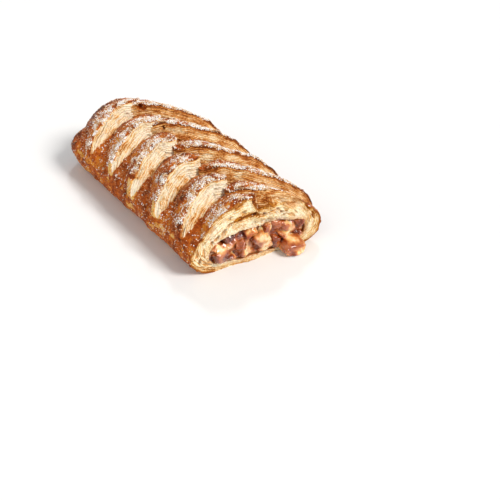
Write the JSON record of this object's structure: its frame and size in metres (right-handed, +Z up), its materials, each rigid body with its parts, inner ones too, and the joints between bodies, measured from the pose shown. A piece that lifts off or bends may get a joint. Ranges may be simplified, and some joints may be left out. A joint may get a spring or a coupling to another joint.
{
  "type": "danish pastry",
  "caption": "Long braided danish with folded strips over a fruit filling, cut across at one end, flat underneath.",
  "frame": {"origin": "under the middle of the whole pastry, on the surface it stands on", "axes": "+X along the loaf towards the cut end, +Y across it towards the side whose strips are tucked under, +Z up"},
  "size_m": [0.2112, 0.103, 0.0522],
  "materials": {
    "crust": "golden brown flaky crust with coarse sugar",
    "syrup": "wet syrup",
    "apple": "wet cooked apple"
  },
  "bodies": {
    "root": {"pastry": "crust", "apple_filling": "syrup", "apple_piece_1": "apple", "apple_piece_2": "apple", "apple_piece_3": "apple", "apple_piece_4": "apple", "apple_piece_5": "apple", "apple_piece_6": "apple", "apple_piece_7": "apple", "apple_piece_8": "apple", "apple_piece_9": "apple"}
  },
  "joints": []
}
